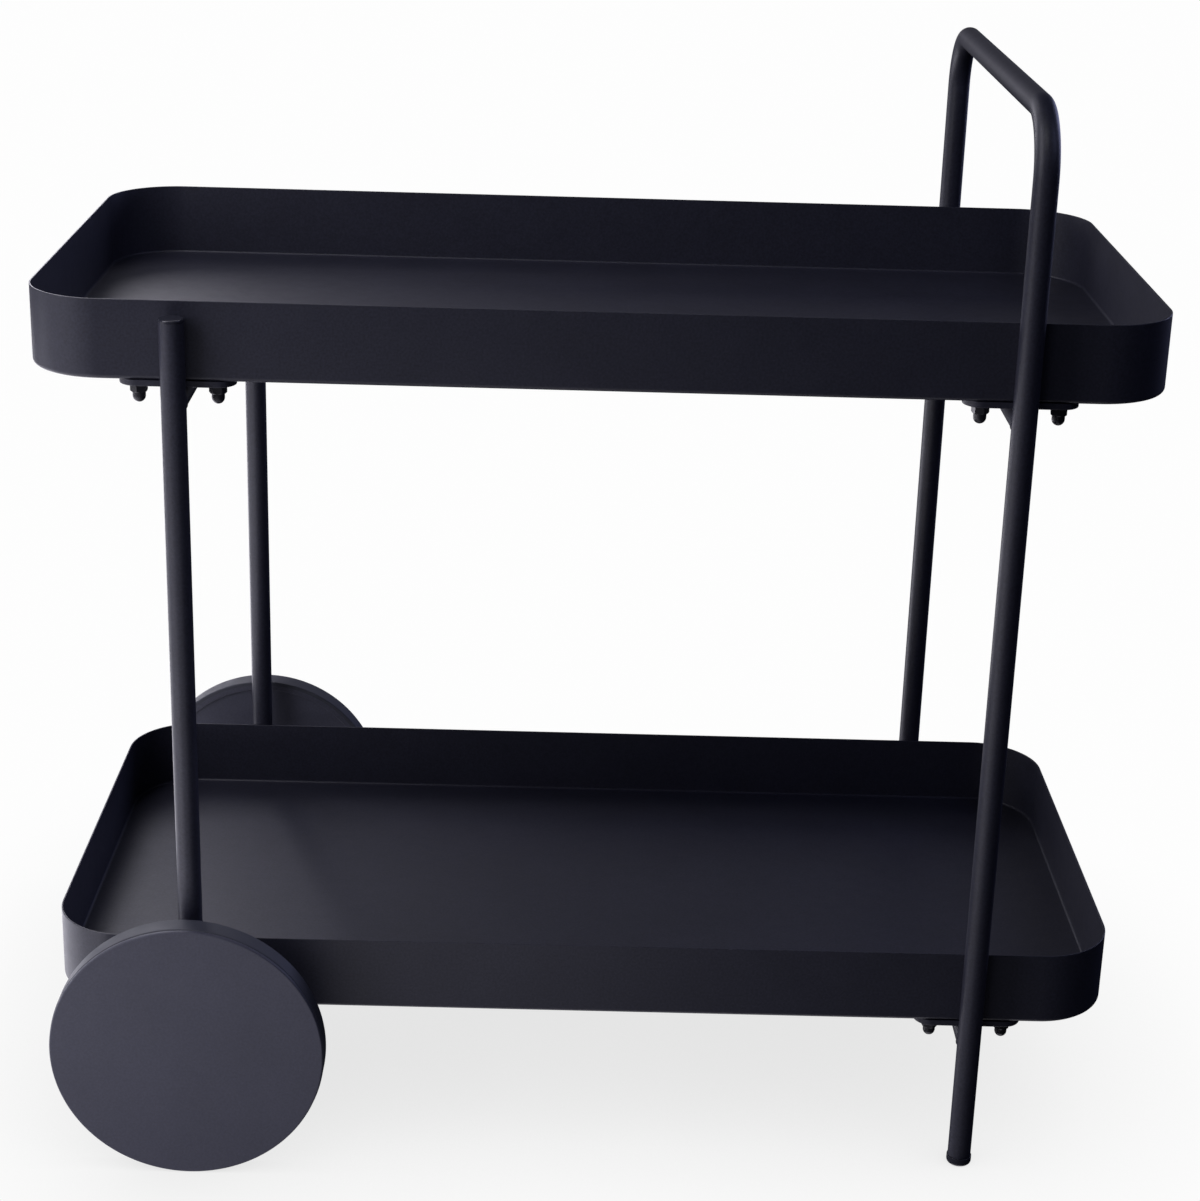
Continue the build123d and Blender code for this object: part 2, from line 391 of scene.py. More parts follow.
@dataclass(frozen=True)
class Finish:
    """What every finish has: a body colour that drifts a little, a sheen that drifts, and relief.

    Each size is in millimetres. The drifts and the grain are shares of the value that they move,
    but the sheen's drift is in roughness. The relief is a list of (feature size, height) noises.
    """

    name: str
    colour: str
    roughness: float
    ior: float = 1.5
    metallic: float = 0.0
    tint_drift: float = 0.06
    tint_size: float = 45.0
    sheen_drift: float = 0.05
    sheen_size: float = 12.0
    grain: float = 0.0
    grain_size: float = 1.6
    relief: tuple[tuple[float, float], ...] = ()

    def material(self) -> bpy.types.Material:
        """Build the finish as a material.

        Returns:
            The material.
        """
        made = bpy.data.materials.new(self.name)
        made.use_nodes = True
        tree = made.node_tree
        shader = tree.nodes["Principled BSDF"]
        shader.inputs["IOR"].default_value = self.ior
        shader.inputs["Metallic"].default_value = self.metallic
        place = node(tree, "TexCoord", {}).outputs["Object"]
        tree.links.new(self.tint(tree, place), shader.inputs["Base Color"])
        tree.links.new(self.sheen(tree, place), shader.inputs["Roughness"])
        tree.links.new(self.surface(tree, place), shader.inputs["Normal"])
        return made

    def drift(
        self, tree: bpy.types.NodeTree, place: bpy.types.NodeSocket, size: float, low: float, high: float
    ) -> bpy.types.NodeSocket:
        """A slow noise that runs between two values.

        Args:
            tree: the material's tree.
            place: texture coordinates.
            size: feature size in millimetres.
            low: value in the valleys.
            high: value on the hills.

        Returns:
            The socket with the value.
        """
        noise = node(tree, "TexNoise", {"Scale": per_metre(size), "Detail": 3.0}, {"Vector": place})
        spread = {"From Min": 0.3, "From Max": 0.7, "To Min": low, "To Max": high}
        return node(tree, "MapRange", spread, {"Value": noise.outputs["Fac"]}).outputs["Result"]

    def tint(self, tree: bpy.types.NodeTree, place: bpy.types.NodeSocket) -> bpy.types.NodeSocket:
        """The body colour, a little lighter and darker in large patches and from grain to grain.

        Args:
            tree: the material's tree.
            place: texture coordinates.

        Returns:
            The colour socket.
        """
        body = linear(self.colour)
        dark = (*(v * (1 - self.tint_drift) for v in body[:3]), 1.0)
        light = (*(min(v * (1 + self.tint_drift), 1.0) for v in body[:3]), 1.0)
        amount = self.drift(tree, place, self.tint_size, 0.0, 1.0)
        blend = node(tree, "Mix", {"data_type": "RGBA", 6: dark, 7: light}, {0: amount})
        if not self.grain:
            return blend.outputs[2]
        speck = self.drift(tree, place, self.grain_size, 1.0 - self.grain, 1.0 + self.grain)
        scaled = node(tree, "VectorMath", {"operation": "SCALE"}, {0: blend.outputs[2], "Scale": speck})
        return scaled.outputs["Vector"]

    def sheen(self, tree: bpy.types.NodeTree, place: bpy.types.NodeSocket) -> bpy.types.NodeSocket:
        """The roughness, a little up and down in small patches.

        Args:
            tree: the material's tree.
            place: texture coordinates.

        Returns:
            The roughness socket.
        """
        low, high = self.roughness - self.sheen_drift, self.roughness + self.sheen_drift
        return self.drift(tree, place, self.sheen_size, low, high)

    def surface(self, tree: bpy.types.NodeTree, place: bpy.types.NodeSocket) -> bpy.types.NodeSocket:
        """The relief of the surface, as bumps of their real height laid on one another.

        Args:
            tree: the material's tree.
            place: texture coordinates.

        Returns:
            The normal socket.
        """
        under: bpy.types.NodeSocket | None = None
        for size, height in self.relief:
            noise = node(tree, "TexNoise", {"Scale": per_metre(size), "Detail": 2.0}, {"Vector": place})
            links = {"Height": noise.outputs["Fac"]}
            if under is not None:
                links["Normal"] = under
            bump = node(tree, "Bump", {"Strength": 1.0, "Distance": height * MM}, links)
            under = bump.outputs["Normal"]
        return under


@dataclass(frozen=True)
class PowderCoat(Finish):
    """Polyester powder coat, baked on steel, in a very dark blue grey.

    To the eye: a soft satin, not glossy, with a faint orange peel that breaks up the highlights on
    the tubes, and a fine grain in it. The real grain is about 0.3 mm, too fine to show, so its
    relief is drawn at 0.9 mm and its lighter and darker specks at 1.6 mm.
    """

    name: str = "powder_coat_blue_grey"
    colour: str = "#2b2c39"
    roughness: float = 0.46
    sheen_drift: float = 0.02
    grain: float = 0.25
    relief: tuple[tuple[float, float], ...] = ((3.2, 0.009), (0.9, 0.003))


@dataclass(frozen=True)
class CoatedFastener(Finish):
    """Black passivated steel: smoother and a little shinier than the frame's powder coat."""

    name: str = "black_passivated_steel"
    colour: str = "#2a2a30"
    roughness: float = 0.34
    sheen_size: float = 4.0
    relief: tuple[tuple[float, float], ...] = ((1.2, 0.005),)


@dataclass(frozen=True)
class PlugPolyethylene(Finish):
    """Moulded polyethylene: waxy, with a soft broad highlight and no grain to speak of."""

    name: str = "moulded_polyethylene"
    colour: str = "#2e2f38"
    roughness: float = 0.20
    ior: float = 1.51
    sheen_size: float = 6.0
    relief: tuple[tuple[float, float], ...] = ((1.6, 0.006),)


@dataclass(frozen=True)
class WheelPlastic(Finish):
    """Moulded ABS with a spark-eroded texture: matt, a shade lighter than the frame.

    The real texture is about 0.15 mm. Its relief is drawn at 0.8 mm and its specks at 1.6 mm, so
    that it shows as a faint tooth.
    """

    name: str = "textured_abs"
    colour: str = "#424351"
    roughness: float = 0.55
    ior: float = 1.54
    tint_size: float = 60.0
    grain: float = 0.12
    relief: tuple[tuple[float, float], ...] = ((0.8, 0.005), (14.0, 0.02))


@dataclass(frozen=True)
class TyreRubber(Finish):
    """Moulded thermoplastic rubber: the dullest surface of the cart, with a soft edge light."""

    name: str = "moulded_tpe_rubber"
    colour: str = "#3c3e48"
    roughness: float = 0.62
    ior: float = 1.52
    sheen_drift: float = 0.05
    relief: tuple[tuple[float, float], ...] = ((1.1, 0.004),)


@dataclass(frozen=True)
class ZincSteel(Finish):
    """Bright zinc plate on steel: cool grey metal, its sheen clouded by the plating bath."""

    name: str = "zinc_plated_steel"
    colour: str = "#c3c6ca"
    roughness: float = 0.30
    metallic: float = 1.0
    tint_size: float = 3.0
    sheen_drift: float = 0.09
    sheen_size: float = 2.5
    relief: tuple[tuple[float, float], ...] = ((0.7, 0.003),)


@dataclass(frozen=True)
class Acetal(Finish):
    """Natural acetal: milky white bearing plastic with a slippery, even sheen."""

    name: str = "natural_acetal"
    colour: str = "#dedcd3"
    roughness: float = 0.38
    ior: float = 1.48
    tint_drift: float = 0.02
    sheen_size: float = 5.0
    relief: tuple[tuple[float, float], ...] = ((1.4, 0.004),)


def mix_finishes() -> dict[Coat, bpy.types.Material]:
    """Build one material for each slot.

    Returns:
        The material of each finish.
    """
    return {
        Coat.POWDER: PowderCoat().material(),
        Coat.FASTENER: CoatedFastener().material(),
        Coat.ZINC: ZincSteel().material(),
        Coat.PLUG: PlugPolyethylene().material(),
        Coat.ACETAL: Acetal().material(),
        Coat.RUBBER: TyreRubber().material(),
        Coat.WHEEL: WheelPlastic().material(),
    }


# ---------------------------------------------------------------- assemblies


@dataclass
class Assembly:
    """What every sub-assembly does: turn shapes into pieces and dress the CAD nodes it keeps."""

    finishes: dict[Coat, bpy.types.Material]
    body: str = "frame"

    def piece(self, name: str, shape: Shape, coat: Coat, stands_for: Sequence[str] = ()) -> bpy.types.Object:
        """Make a piece of the cart.

        Args:
            name: the piece's name.
            shape: its closed bodies.
            coat: its finish.
            stands_for: the CAD nodes that it replaces.

        Returns:
            The new object, riding on this assembly's body.
        """
        mesh = bpy.data.meshes.new(name)
        mesh.from_pydata(shape.points, [], shape.faces)
        work = bmesh.new()
        work.from_mesh(mesh)
        bmesh.ops.recalc_face_normals(work, faces=work.faces)
        work.to_mesh(mesh)
        work.free()
        mesh.shade_smooth()
        mesh.set_sharp_from_angle(angle=SHARP_ANGLE)
        made = bpy.data.objects.new(name, mesh)
        bpy.context.scene.collection.objects.link(made)
        mesh.materials.append(self.finishes[coat])
        normals = made.modifiers.new("face_weighted_normals", "WEIGHTED_NORMAL")
        normals.keep_sharp = True
        normals.weight = 100
        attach(made, self.body)
        if stands_for:
            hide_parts(*stands_for)
        log.info("%s: %d faces, %s", name, len(mesh.polygons), coat.value)
        return made

    def dress(self, nodes: dict[str, bpy.types.Object], names: Iterable[str], coat: Coat) -> None:
        """Give CAD nodes that stay in view their finish.

        Args:
            nodes: the CAD objects by name.
            names: which ones.
            coat: the finish.
        """
        for name in names:
            nodes[name].material_slots[0].material = self.finishes[coat]
            log.info("%s: kept from CAD, %s", name, coat.value)


@dataclass
class Tray(Assembly):
    """A pressed sheet pan with rounded corners, a small bend at the floor and an upright wall."""

    level: Level = Level.UPPER
    corner_radius: float = 50 * MM
    sheet: float = 1.2 * MM
    bend_radius: float = 3 * MM
    rim_radius: float = 0.4 * MM
    floor_margin: float = 8 * MM
    corner_steps: int = 28

    def build(self) -> None:
        """Make the pan from loops that follow the sheet's section."""
        node_name = f"{self.level.value}_tray"
        low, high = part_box(node_name)
        size = high - low
        section = rounded(
            (
                (self.floor_margin, 0, 0),
                (0, 0, self.bend_radius),
                (0, size.z, self.rim_radius),
                (self.sheet, size.z, self.rim_radius),
                (self.sheet, self.sheet, self.bend_radius - self.sheet),
                (self.floor_margin, self.sheet, 0),
            ),
            closed=False,
            steps=6,
        )
        shape = Shape()
        shape.loft((self.loop(size, inset, low.z + height) for inset, height in section), ring=False)
        self.piece(f"{node_name}_pan", shape, Coat.POWDER, [node_name])

    def loop(self, size: Vector, inset: float, z: float) -> list[Vector]:
        """The tray's plan outline, drawn in by an inset.

        Args:
            size: the tray's outside size.
            inset: distance in from the outside.
            z: height of the loop.

        Returns:
            Its points.
        """
        radius = self.corner_radius - inset
        return oblong(size.x - 2 * inset, size.y - 2 * inset, radius, z, self.corner_steps)


@dataclass
class TrayFixings(Assembly):
    """The studs, washers and dome nuts that hold a tray on its four plates."""

    level: Level = Level.UPPER
    stud_spacing: float = 50 * MM
    stud_radius: float = 3 * MM
    washer_radius: float = 6 * MM
    washer_thickness: float = 1.2 * MM
    washer_edge: float = 0.2 * MM
    washer_clearance: float = 0.3 * MM
    thread_clearance: float = 0.02 * MM
    across_flats: float = 10 * MM
    hex_height: float = 5 * MM
    chamfer_height: float = 0.8 * MM
    chamfer_steps: int = 4
    neck: float = 0.3 * MM
    dome_radius: float = 4.2 * MM
    dome_steps: int = 12
    bore_depth: float = 8.5 * MM
    turn_by_x: float = 97.0
    turn_by_y: float = 31.0
    steps: int = 72

    def build(self, nodes: dict[str, bpy.types.Object]) -> None:
        """Make the nuts and washers, and dress the plates and studs.

        Args:
            nodes: the CAD objects by name.
        """
        level = self.level.value
        plates = [f"{level}_plate_{end.word}_{side.word}" for end in End for side in Side]
        self.dress(nodes, plates, Coat.POWDER)
        self.dress(nodes, [f"{level}_tray_studs"], Coat.ZINC)
        nuts, washers = Shape(), Shape()
        for plate in plates:
            low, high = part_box(plate)
            middle = (low + high) / 2
            for way in (-1, 1):
                seat = Vector((middle.x + way * self.stud_spacing / 2, middle.y, low.z))
                self.add_washer(washers, seat)
                turn = seat.x * self.turn_by_x + seat.y * self.turn_by_y
                self.add_nut(nuts, seat - Vector((0, 0, self.washer_thickness)), turn)
        self.piece(f"{level}_tray_washer_set", washers, Coat.FASTENER, [f"{level}_tray_washers"])
        self.piece(f"{level}_tray_dome_nut_set", nuts, Coat.FASTENER, [f"{level}_tray_nuts"])

    def add_washer(self, shape: Shape, seat: Vector) -> None:
        """Add a plain washer with softened edges.

        Args:
            shape: takes the faces.
            seat: middle of its upper face.
        """
        inner = self.stud_radius + self.washer_clearance
        edge = self.washer_edge
        outline = rounded(
            (
                (inner, 0, edge),
                (self.washer_radius, 0, edge),
                (self.washer_radius, -self.washer_thickness, edge),
                (inner, -self.washer_thickness, edge),
            ),
            closed=True,
            steps=2,
        )
        shape.lathe(outline, Matrix.Translation(seat), ring=True)

    def add_nut(self, shape: Shape, seat: Vector, turn: float) -> None:
        """Add a dome nut: a bored hexagon with turned chamfers, and a round cap under it.

        Args:
            shape: takes the faces.
            seat: middle of the face against the washer.
            turn: how far the nut happens to be turned, in radians.
        """
        flat = self.across_flats / 2
        point = flat / math.cos(SEXTANT / 2)
        bore = self.stud_radius + self.thread_clearance
        low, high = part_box(f"{self.level.value}_tray_nuts")
        tip = high.z - low.z
        shares = [k / self.chamfer_steps for k in range(self.chamfer_steps + 1)]
        chamfer = [(self.chamfer_height * share, flat + (point - flat) * share) for share in shares]
        rows: list[Point2] = [(self.bore_depth, bore), (0.0, bore), (0.0, flat - self.neck)]
        rows += chamfer
        rows += [(self.hex_height - rise, limit) for rise, limit in reversed(chamfer)]
        rows += [(self.hex_height, self.dome_radius + self.neck)]
        rows += [(self.hex_height + self.neck, self.dome_radius)]
        for k in range(self.dome_steps):
            a = math.pi / 2 * k / self.dome_steps
            depth = tip - self.dome_radius + self.dome_radius * math.sin(a)
            rows.append((depth, self.dome_radius * math.cos(a)))
        loops = []
        for depth, limit in rows:
            loop = []
            for i in range(self.steps):
                a = 2 * math.pi * i / self.steps
                off_flat = (a + SEXTANT / 2) % SEXTANT - SEXTANT / 2
                radius = min(flat / math.cos(off_flat), limit)
                spot = (radius * math.cos(a + turn), radius * math.sin(a + turn), -depth)
                loop.append(seat + Vector(spot))
            loops.append(loop)
        shape.loft(loops, ring=False)


@dataclass
class TubeFrame(Assembly):
    """The welded tubes: two wheel legs on the axle tube, the bent handle frame and the crossbars."""

    radius: float = 8 * MM
    wall: float = 1.5 * MM
    bend_radius: float = 40 * MM
    bend_steps: int = 40
    weld_gap: float = 0.05 * MM
    axle_tube_radius: float = 10 * MM
    axle_tube_wall: float = 2 * MM
    weld_radius: float = 1.3 * MM
    crossbar_weld_radius: float = 0.8 * MM
    weld_lift: float = 0.45
    weld_sink: float = 0.3
    weld_steps: int = 300
    seam_length: float = 17 * MM
    seam_drop: float = 1.1 * MM
    seam_spread: float = 0.5 * MM
    seam_steps: int = 60

    def build(self) -> None:
        """Make every tube and weld."""
        self.build_handle()
        self.build_crossbars()
        self.build_wheel_legs()
        self.build_plate_welds()

    def build_handle(self) -> None:
        """Make the one tube that runs from foot to handle to foot."""
        low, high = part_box("handle_frame")
        x = (low.x + high.x) / 2
        side = high.y - self.radius
        top = high.z - self.radius
        bend = self.bend_radius
        stations = [Station(Vector((x, -side, low.z)), Vector((0, 0, 1)))]
        for way, first in ((-1, math.pi), (1, math.pi / 2)):
            middle = Vector((x, way * (side - bend), top - bend))
            for step in range(self.bend_steps + 1):
                a = first - math.pi / 2 * step / self.bend_steps
                arm = Vector((0, math.cos(a), math.sin(a)))
                stations.append(Station(middle + arm * bend, Vector((0, math.sin(a), -math.cos(a)))))
        stations.append(Station(Vector((x, side, low.z)), Vector((0, 0, -1))))
        shape = Shape()
        pipe(shape, stations, self.radius, self.radius - self.wall)
        self.piece("handle_frame_tube", shape, Coat.POWDER, ["handle_frame"])

    def build_crossbars(self) -> None:
        """Make the bars between the legs, coped to them, with a weld round each end."""
        leg_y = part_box("handle_frame")[1].y - self.radius
        for name in ("wheel_end_upper_crossbar", "handle_end_upper_crossbar", "handle_end_lower_crossbar"):
            low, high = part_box(name)
            x, z = (low.x + high.x) / 2, (low.z + high.z) / 2
            cope = self.radius + self.weld_gap
            ahead = Vector((0, 1, 0))
            stations = [
                Station(Vector((x, -leg_y, z)), ahead, cope),
                Station(Vector((x, leg_y, z)), ahead, -cope),
            ]
            shape = Shape()
            pipe(shape, stations, self.radius, self.radius - self.wall)
            self.piece(f"{name}_tube", shape, Coat.POWDER, [name])
            welds = Shape()
            for side in Side:
                start = Station(Vector((x, side.value * leg_y, z)), -side.value * ahead)
                self.add_saddle_weld(welds, start, self.radius, self.crossbar_weld_radius)
            self.piece(f"{name}_welds", welds, Coat.POWDER)

    def build_wheel_legs(self) -> None:
        """Make the axle tube and the two straight legs that stand on it."""
        low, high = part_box("axle_tube")
        axle = (low + high) / 2
        axle_radius = (high.z - low.z) / 2
        ahead = Vector((0, 1, 0))
        stations = [Station(Vector((axle.x, y, axle.z)), ahead) for y in (low.y, high.y)]
        shape = Shape()
        pipe(shape, stations, axle_radius, axle_radius - self.axle_tube_wall)
        self.piece("axle_tube_pipe", shape, Coat.POWDER, ["axle_tube"])
        for side in Side:
            name = f"wheel_leg_{side.word}"
            leg_low, leg_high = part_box(name)
            foot = Vector((axle.x, (leg_low.y + leg_high.y) / 2, axle.z))
            up = Vector((0, 0, 1))
            stations = [
                Station(foot, up, axle_radius + self.weld_gap),
                Station(Vector((foot.x, foot.y, leg_high.z)), up),
            ]
            shape = Shape()
            pipe(shape, stations, self.radius, self.radius - self.wall)
            self.piece(f"{name}_tube", shape, Coat.POWDER, [name])
            welds = Shape()
            self.add_saddle_weld(welds, Station(foot, up), axle_radius, self.weld_radius)
            self.piece(f"{name}_weld", welds, Coat.POWDER)

    def add_saddle_weld(self, shape: Shape, start: Station, crossing: float, size: float) -> None:
        """Add the bead round the joint of a coped tube and the tube it meets.

        Args:
            shape: takes the faces.
            start: the crossing tube's axis and the direction of the coped tube.
            crossing: radius of the crossing tube.
            size: radius of the bead.
        """
        line = Station(start.centre, start.along, crossing + self.weld_lift * size)
        bead(shape, line.loop(self.radius - self.weld_sink * size, self.weld_steps), size, closed=True)

    def build_plate_welds(self) -> None:
        """Make the two short seams that hold each plate to the bar under it."""
        seams = Shape()
        for level in Level:
            for end in End:
                on_axle = level is Level.LOWER and end is End.WHEEL
                bar_radius = self.axle_tube_radius if on_axle else self.radius
                for side in Side:
                    self.add_seams(seams, f"{level.value}_plate_{end.word}_{side.word}", bar_radius, side)
        self.piece("plate_seam_welds", seams, Coat.POWDER)

    def add_seams(self, shape: Shape, plate: str, bar_radius: float, side: Side) -> None:
        """Add the seams on both sides of a bar, in the corners that it makes with its plate.

        Args:
            shape: takes the faces.
            plate: the plate's node.
            bar_radius: radius of the bar.
            side: the side of the cart that the plate is on.
        """
        low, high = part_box(plate)
        middle = (low + high) / 2
        level_radius = bar_radius - self.seam_drop
        reach = math.sqrt(bar_radius**2 - level_radius**2) + self.seam_spread
        length = side.value * self.seam_length
        inner = middle.y - length / 2
        for way in (-1, 1):
            x, z = middle.x + way * reach, low.z - self.seam_drop
            steps = range(self.seam_steps + 1)
            line = [Vector((x, inner + length * k / self.seam_steps, z)) for k in steps]
            bead(shape, line, self.weld_radius, closed=False)


@dataclass
class EndCaps(Assembly):
    """The plugs in the tops of the wheel legs and the glides in the feet of the handle frame."""

    bore: float = 6.5 * MM
    clearance: float = 0.15 * MM
    spigot: float = 14 * MM
    rib: float = 1 * MM
    rib_slope: float = 0.3
    rib_foot: float = 1.05
    rib_count: int = 3
    plug_edge: float = 1.0 * MM
    plug_flange: float = 2 * MM
    foot_edge: float = 2.5 * MM
    foot_height: float = 6 * MM
    lower_lip: float = 0.2 * MM
    tip_edge: float = 0.5 * MM

    def build(self) -> None:
        """Make all four caps."""
        for side in Side:
            self.add_cap(f"leg_plug_{side.word}", self.plug_flange, self.plug_edge, top=True)
            self.add_cap(f"foot_cap_{side.word}", self.foot_height, self.foot_edge, top=False)

    def add_cap(self, node_name: str, flange: float, edge: float, top: bool) -> None:
        """Turn one cap: a rounded flange outside the tube and a ribbed spigot in its bore.

        Args:
            node_name: the CAD node that it stands for.
            flange: height of the part outside the tube.
            edge: radius of the flange's outer edge.
            top: True for a cap that closes a tube from above, False from below.
        """
        low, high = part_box(node_name)
        middle = (low + high) / 2
        radius = (high.x - low.x) / 2
        centre = 0.6 * MM
        core = self.bore - self.clearance
        corners: list[Corner] = [(centre, flange, 0), (radius, flange, edge)]
        corners += [(radius, 0, self.lower_lip), (core, 0, 0)]
        for number in range(self.rib_count):
            start = -self.spigot * (number + 1) / (self.rib_count + 1) + self.rib / 2
            corners += [(core, start, 0), (self.bore, start - self.rib * self.rib_slope, 0)]
            corners += [(self.bore, start - self.rib, 0), (core, start - self.rib * self.rib_foot, 0)]
        corners += [(core, -self.spigot, self.tip_edge), (centre, -self.spigot, 0)]
        mouth = high.z - flange if top else low.z + flange
        facing = Matrix.Diagonal((1, 1, 1 if top else -1, 1))
        place = Matrix.Translation((middle.x, middle.y, mouth)) @ facing
        shape = Shape()
        shape.lathe(rounded(corners, closed=False, steps=8), place, ring=False, steps=64)
        self.piece(f"{node_name}_moulding", shape, Coat.PLUG, [node_name])


@dataclass
class Wheel(Assembly):
    """A disc wheel: a moulded core in a rubber ring, closed by a plain cover."""

    side: Side = Side.FRONT
    tyre_width: float = 15 * MM
    tyre_thickness: float = 3 * MM
    tyre_edge: float = 1 * MM
    cover_edge: float = 1.2 * MM
    cover_drop: float = 0.4 * MM
    cover_thickness: float = 3 * MM
    rim: float = 4 * MM
    recess: float = 2 * MM
    web: float = 3 * MM
    hub_radius: float = 16 * MM
    hub_length: float = 9.5 * MM
    bush_flange_rise: float = 3 * MM
    lip: float = 2 * MM
    lip_height: float = 3 * MM
    lip_clearance: float = 0.2 * MM
    rib_count: int = 12
    rib: float = 2 * MM
    rib_root: float = 0.2 * MM
    rib_draft: float = 0.75
    rib_drop: float = 0.3 * MM
    steps: int = 224

    def build(self, nodes: dict[str, bpy.types.Object]) -> None:
        """Make the tyre, core and cover, and dress the hub bush.

        Args:
            nodes: the CAD objects by name.
        """
        word = self.side.word
        low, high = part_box(f"wheel_tyre_{word}")
        middle = (low + high) / 2
        radius = (high.z - low.z) / 2
        inner_y = high.y if self.side is Side.FRONT else low.y
        way = self.side.value
        place = Matrix(((1, 0, 0, middle.x), (0, 0, way, inner_y), (0, -way, 0, middle.z), (0, 0, 0, 1)))
        self.add_tyre(radius, place)
        self.add_core(radius, place)
        self.add_cover(radius, place)
        self.dress(nodes, [f"hub_bush_{word}"], Coat.ACETAL)

    def add_tyre(self, radius: float, place: Matrix) -> None:
        """Make the rubber ring, its two shoulders rounded.

        Args:
            radius: radius of the tread.
            place: carries the wheel's axis to its place, outboard along local Z.
        """
        inner, width = radius - self.tyre_thickness, self.tyre_width
        outline = rounded(
            (
                (inner, 0, 0.1 * MM),
                (radius, 0, self.tyre_edge),
                (radius, width, self.tyre_edge),
                (inner, width, 0.1 * MM),
            ),
            closed=True,
            steps=6,
        )
        shape = Shape()
        shape.lathe(outline, place, ring=True, steps=self.steps)
        word = self.side.word
        self.piece(f"wheel_tyre_ring_{word}", shape, Coat.RUBBER, [f"wheel_tyre_{word}"])

    def add_core(self, radius: float, place: Matrix) -> None:
        """Make the moulded core: rim, web, hub and the ribs behind the cover.

        Args:
            radius: radius of the tread.
            place: carries the wheel's axis to its place, outboard along local Z.
        """
        outer = radius - self.tyre_thickness
        inner = outer - self.rim
        floor = self.recess + self.web
        bush_low, bush_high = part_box(f"hub_bush_{self.side.word}")
        bore = (bush_high.z - bush_low.z) / 2 - self.bush_flange_rise
        outline = rounded(
            (
                (bore, 0, 0.3 * MM),
                (self.hub_radius, 0, 0.6 * MM),
                (self.hub_radius, self.recess, 0.8 * MM),
                (inner, self.recess, 0.8 * MM),
                (inner, 0, 0.5 * MM),
                (outer, 0, 0.2 * MM),
                (outer, self.tyre_width, 0.2 * MM),
                (inner, self.tyre_width, 0.3 * MM),
                (inner, floor, 0.6 * MM),
                (self.hub_radius, floor, 0.6 * MM),
                (self.hub_radius, self.hub_length, 0.4 * MM),
                (bore, self.hub_length, 0.3 * MM),
            ),
            closed=True,
            steps=4,
        )
        shape = Shape()
        shape.lathe(outline, place, ring=True, steps=self.steps)
        for number in range(self.rib_count):
            turn = Matrix.Rotation(2 * math.pi * number / self.rib_count, 4, "Z")
            self.add_rib(shape, place @ turn, inner, floor)
        word = self.side.word
        self.piece(f"wheel_core_moulding_{word}", shape, Coat.WHEEL, [f"wheel_core_{word}"])

    def add_rib(self, shape: Shape, place: Matrix, inner: float, floor: float) -> None:
        """Add one drafted rib from hub to rim.

        Args:
            shape: takes the faces.
            place: turns the rib round the wheel.
            inner: inside radius of the rim.
            floor: height of the web's outboard face.
        """
        start, end = self.hub_radius - self.rib_root, inner + self.rib_root
        middle, length = (start + end) / 2, end - start
        sections = (
            (floor - self.rib_root, self.rib),
            (self.hub_length - self.rib_drop, self.rib * self.rib_draft),
        )
        loops = []
        for height, width in sections:
            loop = oblong(length, width, width * 0.3, height, 3)
            loops.append([place @ (p + Vector((middle, 0, 0))) for p in loop])
        shape.loft(loops, ring=False)

    def add_cover(self, radius: float, place: Matrix) -> None:
        """Make the plain cover with its rounded edge and the lip that snaps into the core.

        Args:
            radius: radius of the tread.
            place: carries the wheel's axis to its place, outboard along local Z.
        """
        edge = radius - self.cover_drop
        back, face = self.tyre_width, self.tyre_width + self.cover_thickness
        lip = radius - self.tyre_thickness - self.rim - self.lip_clearance
        centre = 1 * MM
        outline = rounded(
            (
                (centre, face, 0),
                (edge, face, self.cover_edge),
                (edge, back, 0.3 * MM),
                (lip, back, 0),
                (lip, back - self.lip_height, 0.4 * MM),
                (lip - self.lip, back - self.lip_height, 0.4 * MM),
                (lip - self.lip, back, 0.4 * MM),
                (centre, back, 0),
            ),
            closed=False,
            steps=6,
        )
        shape = Shape()
        shape.lathe(outline, place, ring=False, steps=self.steps)
        word = self.side.word
        self.piece(f"wheel_cover_disc_{word}", shape, Coat.WHEEL, [f"wheel_cover_{word}"])


@dataclass
class AxleParts(Assembly):
    """The rod, bushes, washers and push-on rings, all kept from CAD."""

    def build(self, nodes: dict[str, bpy.types.Object]) -> None:
        """Dress the axle's CAD nodes.

        Args:
            nodes: the CAD objects by name.
        """
        steel = ["axle_rod"]
        for side in Side:
            steel += [f"{part}_{side.word}" for part in ("inner_thrust_washer", "outer_thrust_washer")]
            steel.append(f"push_on_ring_{side.word}")
        self.dress(nodes, steel, Coat.ZINC)
        self.dress(nodes, [f"axle_tube_bush_{side.word}" for side in Side], Coat.ACETAL)


# ---------------------------------------------------------------- studio


@dataclass(frozen=True)
class Softbox:
    """A rectangular lamp that points at a place on the cart."""

    name: str
    place: Vector
    aim: Vector
    width: float
    height: float
    power: float
    colour: tuple[float, float, float]

    def build(self) -> None:
        """Hang the lamp."""
        lamp = bpy.data.lights.new(self.name, "AREA")
        lamp.shape = "RECTANGLE"
        lamp.size, lamp.size_y = self.width, self.height
        lamp.energy = self.power
        lamp.color = self.colour
        holder = bpy.data.objects.new(self.name, lamp)
        holder.location = self.place
        holder.rotation_mode = "QUATERNION"
        holder.rotation_quaternion = (self.aim - self.place).to_track_quat("-Z", "Y")
        holder.visible_camera = False
        bpy.context.scene.collection.objects.link(holder)


